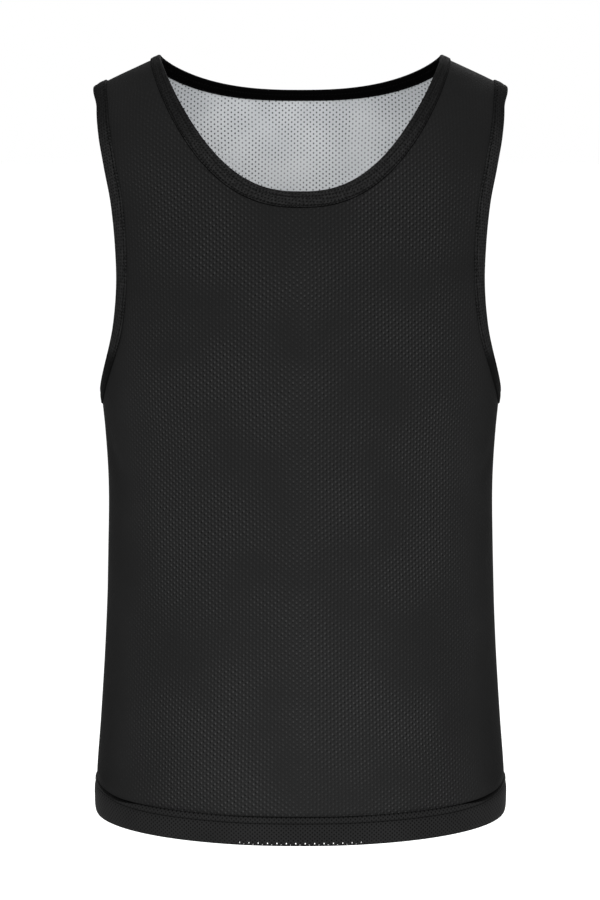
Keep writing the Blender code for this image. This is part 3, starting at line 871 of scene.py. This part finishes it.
class Nodes:
    """The node tree of a new material, with a short call for each kind of step."""

    def __init__(self, name):
        """Starts with the one principled shader that a new material has."""
        self.material = bpy.data.materials.new(name)
        self.material.use_nodes = True
        self.tree = self.material.node_tree
        self.shader = self.tree.nodes["Principled BSDF"]

    def fill(self, socket, value):
        """Gives an input a link or a plain value."""
        if isinstance(value, bpy.types.NodeSocket):
            self.tree.links.new(value, socket)
        elif value is not None:
            socket.default_value = value

    def add(self, kind, *inputs, **settings):
        """Outputs of a new node with these settings, whose inputs are filled in order."""
        node = self.tree.nodes.new("ShaderNode" + kind)
        for name, value in settings.items():
            setattr(node, name, value)
        for socket, value in zip(node.inputs, inputs):
            self.fill(socket, value)
        return node.outputs

    def maths(self, operation, *inputs):
        """One step of arithmetic."""
        return self.add("Math", *inputs, operation=operation)[0]

    def times(self, product, *factors):
        """Product of all the values."""
        for factor in factors:
            product = self.maths("MULTIPLY", product, factor)
        return product

    def off(self, value, line):
        """How far a value is from a line, on either side."""
        return self.maths("ABSOLUTE", self.maths("SUBTRACT", value, line))

    def vector(self, operation, *inputs):
        """One step of arithmetic on a place or a colour."""
        outputs = self.add("VectorMath", *inputs, operation=operation)
        return outputs[1] if operation == "LENGTH" else outputs[0]

    def eased(self, value, low, high, at_low=0.0, at_high=1.0):
        """A value eased from at_low, at low, to at_high, at high."""
        return self.add("MapRange", value, low, high, at_low, at_high,
                        interpolation_type="SMOOTHSTEP")[0]

    def blend(self, share, first, second):
        """Two colours mixed by a share. A plain number stands for the grey of that tone."""
        colours = (grey(tone) if isinstance(tone, float) else tone for tone in (first, second))
        return self.add("Mix", share, *[None] * 5, *colours, data_type="RGBA")[2]

    def noise(self, place, scale, detail=1.0, roughness=0.5):
        """Smooth noise from 0 to 1."""
        return self.add("TexNoise", place, None, scale, detail, roughness)[0]

    def object_place(self):
        """Place in the object's own metres."""
        return self.add("TexCoord")["Object"]

    def cloth_place(self, turned=0.0):
        """The cloth's own distances, in metres, turned by an angle for cloth cut on the bias."""
        return self.add("Mapping", self.add("UVMap", uv_map="cloth")[0], None, (0, 0, turned))[0]

    def drifting(self, place):
        """A place on the cloth moved by a slow noise, because the knit's rows wander a little."""
        drift = self.add("TexNoise", place, None, DRIFT_SCALE, 1.0, 0.5)[1]
        centred = self.vector("SUBTRACT", drift, (0.5, 0.5, 0.5))
        step = self.vector("MULTIPLY", centred, (MESH_DRIFT, MESH_DRIFT, 0))
        return self.vector("ADD", place, step)

    def hole(self, place, cell, size, softness=0.45):
        """1 in a hole and 0 on the yarn round it, with an eased rim. The holes stand at the
        corners of the cell's grid and at its middles. Heights count for less, as holes are tall."""
        found, scaled = [], self.vector("MULTIPLY", place, (1 / cell[0], 1 / cell[1], 0))
        for shift in (0.0, 0.5):
            part = self.vector("FRACTION", self.vector("ADD", scaled, (shift, shift, 0)))
            centred = self.vector("SUBTRACT", part, (0.5, 0.5, 0))
            sized = self.vector("MULTIPLY", centred, (cell[0], cell[1] / HOLE_SQUAT, 0))
            found.append(self.vector("LENGTH", sized))
        return self.eased(self.maths("MINIMUM", *found), size * (1 - softness),
                          size * (1 + softness), 1.0, 0.0)

    def wale(self, place, pitch):
        """Upright waves across the cloth, from -1 to 1."""
        across = self.add("SeparateXYZ", place)[0]
        return self.maths("SINE", self.times(across, 2 * math.pi / pitch))

    def finish(self, colour, roughness, height, distance, specular, sheen=0.0):
        """The material, its shader given colour, roughness and relief, and its even values."""
        relief = self.tree.nodes.new("ShaderNodeBump")
        bump = {"Strength": 1.0, "Distance": distance, "Height": height}
        surface = {"Base Color": colour, "Roughness": roughness, "Normal": relief.outputs[0],
                   "Specular IOR Level": specular, "Sheen Weight": sheen, "Sheen Roughness": 0.5}
        for node, values in ((relief, bump), (self.shader, surface)):
            for name, value in values.items():
                self.fill(node.inputs[name], value)
        return self.material

    def finish_knit(self, colour, place, pitch, hole, roughness, distance, *shine):
        """The finish of a knit: its yarn has fine wales, broken up by a small noise, and stands
        higher than its holes, which are duller. shine is its specular level and its sheen."""
        wales = self.times(self.wale(place, pitch), WALE_SHARE)
        yarn = self.maths("MULTIPLY_ADD", self.noise(place, *FUZZ), FUZZ_SHARE, wales)
        height = self.maths("SUBTRACT", self.times(yarn, YARN_RELIEF), hole)
        roughness = self.eased(hole, 0.0, 1.0, roughness, HOLE_ROUGHNESS)
        return self.finish(colour, roughness, height, distance, *shine)


def grey(tone, cool=0.004):
    """A nearly neutral colour, a little to the blue."""
    return (tone * (1 - cool), tone, tone * (1 + cool), 1.0)


def black_mesh():
    """Outer cloth: black knit whose holes show the pale lining, painted in its shade, each with a
    small painted shadow below it on the side away from the centre. How clearly they show varies:
    least at the sides and near the top, less at the very centre, and in patches. Painted shade
    makes the cloth darker towards its sides and its shoulders and painted light makes it brighter
    low at the centre, and in between its columns of holes run faint upright lines."""
    net, tones = Nodes("black_mesh_cloth"), TONES["panel"]
    place = net.cloth_place()
    sideways, up, _ = net.add("SeparateXYZ", place)
    across = net.maths("ABSOLUTE", sideways)
    knit = net.drifting(place)
    hole = net.hole(knit, HOLE_CELL, HOLE_SIZE, 0.6)
    outward = net.eased(sideways, -0.03, 0.03, HOLE_SHADOW[0], -HOLE_SHADOW[0])
    beside = net.vector("ADD", knit, net.add("CombineXYZ", outward, HOLE_SHADOW[1], 0.0)[0])
    shadow = net.hole(beside, HOLE_CELL, HOLE_SIZE, 0.6)
    patches = net.noise(place, 10.0, 2.0)
    # how clearly the holes show the lining, which is painted in its shade
    painted_lining_show = net.times(net.eased(across, 0.015, 0.075, 0.66, 0.86),
                      net.eased(across, 0.115, 0.195, 1.0, 0.06),
                      net.eased(up, 0.53, 0.63, 1.0, 0.35),
                      net.eased(patches, 0.32, 0.60, 0.26, 1.12),
                      net.eased(net.noise(place, 210.0), 0.3, 0.7, 0.50, 1.20))
    line = net.eased(net.wale(knit, HOLE_CELL[0] / 2), -1.0, 1.0, 0.0, 0.16)
    tone = net.blend(net.eased(patches, 0.25, 0.75), *tones["yarn"])
    tone = net.blend(line, tone, tones["line"])
    tone = net.blend(net.times(shadow, painted_lining_show), tone, tones["shadow"])
    colour = net.blend(net.times(hole, painted_lining_show), tone, tones["hole"])
    # painted shade: darker towards the sides and the shoulders
    light = net.times(net.eased(across, 0.165, 0.24, 1.06, 0.56),
                      net.eased(up, 0.26, 0.62, 1.0, 0.84))
    # painted light, low at the centre
    low_centre_painted_light = net.times(net.eased(up, 0.02, 0.30, 0.22, 0.0),
                           net.eased(across, 0.05, 0.15, 1.0, 0.0))
    lit = net.vector("SCALE", colour, None, None, net.maths("ADD", light, low_centre_painted_light))
    return net.finish_knit(lit, knit, HOLE_CELL[0] / 4, hole, *FINISHES["panel"])


def double_mesh():
    """Hem cloth: two layers of the black knit, so that its holes are darker than its yarn,
    least at the centre. Painted shade makes it black in the crease under the panel's edge, most
    at the hem's corners and least half way to them, and a little darker along its stitched groove."""
    net, tones = Nodes("black_double_mesh"), TONES["hem"]
    place = net.cloth_place()
    sideways, above, _ = net.add("SeparateXYZ", place)
    along = net.maths("ABSOLUTE", sideways)
    hole = net.hole(place, DOUBLE_CELL, DOUBLE_HOLE_SIZE)
    tone = net.blend(net.eased(net.noise(place, 20.0, 2.0), 0.25, 0.75), *tones["yarn"])
    clear_hole = net.times(hole, net.eased(along, 0.05, 0.12, 0.78, 1.0))
    colour = net.blend(clear_hole, tone, tones["hole"])
    # painted shade in the crease under the panel's edge, deepest at the corners
    crease_shade_start = net.eased(net.off(along, HEM_CORNER), 0.0, HEM_CORNER_SPREAD,
                             *HEM_CREASE_SHADE_LEVELS)
    under_edge = net.maths("SUBTRACT", above, crease_shade_start)
    depth = net.eased(net.off(along, HEM_CORNER / 2), 0.02, 0.055, 0.32, 1.0)
    crease_shade = net.times(depth, net.eased(under_edge, -0.0005, 0.0004))
    colour = net.blend(crease_shade, colour, tones["crease_shade"])
    # painted shade along the stitched groove
    groove_shade = net.eased(net.off(above, GROOVE_HEIGHT), 0.0002, 0.0008, 0.6, 0.0)
    colour = net.blend(groove_shade, colour, tones["groove_shade"])
    return net.finish_knit(colour, place, DOUBLE_CELL[0] / 4, hole, *FINISHES["hem"])


def bias_mesh(label):
    """Binding cloth: black knit cut on the bias and doubled, drawn in at its stitch lines, with
    painted shade in the crease where its outer leg ends. Inside, painted shade makes its face
    blacker. An armhole's has painted shade under the arm too. Painted shade darkens it towards the
    shoulder's tip."""
    net, tones, looks = Nodes(label + "_binding_cloth"), TONES["binding"], BINDINGS[label]
    place, turned = net.cloth_place(), net.cloth_place(BIAS)
    hole = net.hole(turned, DOUBLE_CELL, DOUBLE_HOLE_SIZE)
    along, across, _ = net.add("SeparateXYZ", place)
    level = net.add("SeparateXYZ", net.object_place())[2]
    yarn = net.blend(net.eased(net.noise(place, 420.0), 0.3, 0.7), *looks["yarn"])
    # painted shade under the arm
    if "shaded_below" in looks:
        shaded = net.eased(net.maths("SUBTRACT", level, looks["shaded_below"]), -0.008, 0.008,
                           0.8, 0.0)
        yarn = net.blend(shaded, yarn, tones["shade"])
    # painted shade towards the shoulder's tip
    shade_at_tip = net.eased(level, -0.085, -0.045, 0.0, looks["tip_shade"])
    yarn = net.blend(shade_at_tip, yarn, tones["painted_tip_shade"])
    # painted shade on the inner leg, on its yarn and its holes alike
    inside_shade = net.eased(across, FOLD_MIDDLE - 0.0012, FOLD_MIDDLE + 0.0006)
    colour = net.blend(hole, net.blend(inside_shade, yarn, tones["inside_shade"]),
                       net.blend(inside_shade, looks["hole"], tones["inside_hole_shade"]))
    # painted shade in the crease where the outer leg ends
    crease_shade = net.eased(across, 0.0004, 0.0012, looks["crease_shade"], 0.0)
    colour = net.blend(crease_shade, colour, tones["crease_shade"])
    beat = net.off(net.maths("FRACT", net.times(along, 1 / looks["pitch"])), NEEDLE_PLACE)
    for share, darkness in looks["rows"]:
        drawn = net.eased(net.off(across, BINDING_LEG * share), 0.0003, 0.0011, darkness, 0.0)
        needle = net.times(drawn, net.eased(beat, 0.08, 0.22, 1.0, 0.2))
        colour = net.blend(needle, colour, tones["stitch"])
    return net.finish_knit(colour, turned, DOUBLE_CELL[0] / 4, hole, *FINISHES["binding"])


def pale_mesh():
    """Lining: pale knit whose holes show the black cloth behind it, in some patches more clearly
    than in others. Its tone is mottled with painted light and shade of soft folds, it has painted
    shade close under the neck and off the centre, and painted light further down."""
    net, tones = Nodes("pale_mesh_cloth"), TONES["lining"]
    low, painted_shade = grey(tones["low"], 0.035), grey(tones["painted_shade"], 0.035)
    high, lit = grey(tones["high"], 0.022), grey(tones["lit"], 0.022)
    place = net.cloth_place()
    sideways, up, _ = net.add("SeparateXYZ", place)
    across = net.maths("ABSOLUTE", sideways)
    knit = net.drifting(place)
    clear = net.eased(net.noise(place, 26.0), 0.36, 0.56, 0.68, 1.0)
    hole = net.times(net.hole(knit, HOLE_CELL, HOLE_SIZE * 0.95), clear)
    # painted light and shade of soft folds
    tone = net.blend(net.eased(net.noise(place, 17.0), 0.3, 0.7), low, high)
    # painted shade close under the neck and off the centre
    tone = net.blend(net.eased(up, 0.585, 0.645, 0.0, 0.5), tone, painted_shade)
    tone = net.blend(net.eased(across, 0.05, 0.12, 0.0, 0.55), tone, painted_shade)
    # painted light further down
    tone = net.blend(net.eased(up, 0.545, 0.605, 0.5, 0.0), tone, lit)
    colour = net.blend(hole, tone, tones["hole"])
    return net.finish_knit(colour, knit, HOLE_CELL[0] / 4, hole, *FINISHES["lining"])


def black_thread():
    """Sewing thread: two plies that twist round each other, with little shine."""
    net = Nodes("black_thread")
    ply = net.noise(net.object_place(), 2600.0)
    colour = net.blend(ply, *TONES["thread"])
    return net.finish(colour, net.eased(ply, 0.2, 0.8, 0.55, 0.75), ply, 0.00008, 0.04)


def pale_floor():
    """Plain studio floor."""
    net = Nodes("pale_floor")
    tone = net.noise(net.object_place(), 3.0, 2.0)
    colour = net.blend(tone, *(grey(value, 0.0) for value in TONES["floor"]))
    for name, value in (("Base Color", colour), ("Roughness", 0.9),
                        ("Emission Color", (1.0, 1.0, 1.0, 1.0)), ("Emission Strength", 0.12)):
        net.fill(net.shader.inputs[name], value)
    return net.material


# ---- studio ----

def add_camera():
    """The photograph's camera, level with the shoulders and tipped down a little."""
    data = bpy.data.cameras.new("photo_camera")
    data.sensor_fit = "VERTICAL"
    data.sensor_height = SENSOR_HEIGHT
    data.lens = FOCAL_PIXELS / PHOTO_HEIGHT * SENSOR_HEIGHT
    data.shift_x, data.shift_y = -HALF_PIXEL / PHOTO_HEIGHT, HALF_PIXEL / PHOTO_HEIGHT
    camera = add_object("photo_camera", data)
    camera.location = CAMERA_PLACE
    camera.rotation_euler = (QUARTER - CAMERA_PITCH, 0, 0)
    bpy.context.scene.camera = camera


def add_soft_light(name, place, target, size, power):
    """A square softbox that faces a target."""
    data = bpy.data.lights.new(name, "AREA")
    data.shape, data.size, data.energy = "SQUARE", size, power
    light = add_object(name, data)
    light.location = place
    toward = np.array(target) - np.array(place)
    pitch = math.atan2(math.hypot(toward[0], toward[1]), -toward[2])
    light.rotation_euler = (pitch, 0, math.atan2(toward[1], toward[0]) - QUARTER)


def add_studio():
    """White surroundings, a pale floor far below and soft light, most of it on the front."""
    world = bpy.data.worlds.new("white_studio")
    bpy.context.scene.world = world
    world.use_nodes = True
    colour, strength = world.node_tree.nodes["Background"].inputs[:2]
    colour.default_value = (1.0, 1.0, 1.0, 1.0)
    strength.default_value = 1.0
    bpy.context.scene.view_settings.view_transform = "Standard"
    corners = [(across * FLOOR_HALF, along * FLOOR_HALF, -FLOOR_DROP)
               for across, along in ((-1, -1), (1, -1), (1, 1), (-1, 1))]
    add_mesh("floor", corners, [[0, 1, 2, 3]], pale_floor())
    for light in SOFT_LIGHTS:
        add_soft_light(*light)


# ---- the bib ----

def main():
    """Dresses every CAD node."""
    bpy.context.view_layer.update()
    add_camera()
    add_studio()
    black, double, pale, thread = black_mesh(), double_mesh(), pale_mesh(), black_thread()
    neck_cloth, arm_cloth = bias_mesh("neck"), bias_mesh("armhole")
    panel_edge = -BODY_LENGTH + HEM_HEIGHT
    lining_edge = panel_edge + HEM_TUCK + LINING_LIFT
    pieces, cuts = {}, {}
    for side in ("front", "back"):
        name = side + "_panel"
        pieces[name], cuts[name] = add_panel(name + "_cloth", side, 0.0, panel_edge, black, True)
        name = side + "_lining"
        pieces[name], cuts[name] = add_panel(name + "_cloth", side, LINING_LEVEL, lining_edge,
                                             pale, False)
        name = "hem_" + side
        pieces[name] = add_hem(name + "_cloth", side, double, side == "front")
    neck = Edge("neck", neck_loop(), False, neck_legs())
    armhole = Edge("armhole", armhole_loop(), True, (BINDING_LEG, INNER_LEG))
    name = "neck_binding"
    pieces[name], neck_round = add_binding(name + "_cloth", neck, 1, neck_cloth)
    for hand, label in ((-1, "left"), (1, "right")):
        name = "armhole_binding_" + label
        pieces[name], arm_round = add_binding(name + "_cloth", armhole, hand, arm_cloth)
    for name, piece in pieces.items():
        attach(piece, "root")
        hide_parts(name)
    sewing = {
        "neck_stitching": binding_stitches(neck, 1),
        "armhole_stitching_left": binding_stitches(armhole, -1),
        "armhole_stitching_right": binding_stitches(armhole, 1),
        "hem_stitching": [hem_stitches("front"), hem_stitches("back")],
    }
    stitching = {name: add_mesh(name, *stitch_mesh(rows), thread)
                 for name, rows in sewing.items()}
    for piece in stitching.values():
        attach(piece, "root")
    for name, (width, length, area) in cuts.items():
        print("cut of", name, round(width, 3), round(length, 3), round(area, 4))
    print("round the neck", round(neck_round, 3), "round an armhole", round(arm_round, 3))


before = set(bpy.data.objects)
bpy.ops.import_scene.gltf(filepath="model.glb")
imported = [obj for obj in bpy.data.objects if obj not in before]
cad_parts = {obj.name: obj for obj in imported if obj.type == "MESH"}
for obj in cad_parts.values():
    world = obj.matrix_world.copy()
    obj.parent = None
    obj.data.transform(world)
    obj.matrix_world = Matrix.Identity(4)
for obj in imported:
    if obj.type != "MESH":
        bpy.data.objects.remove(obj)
main()
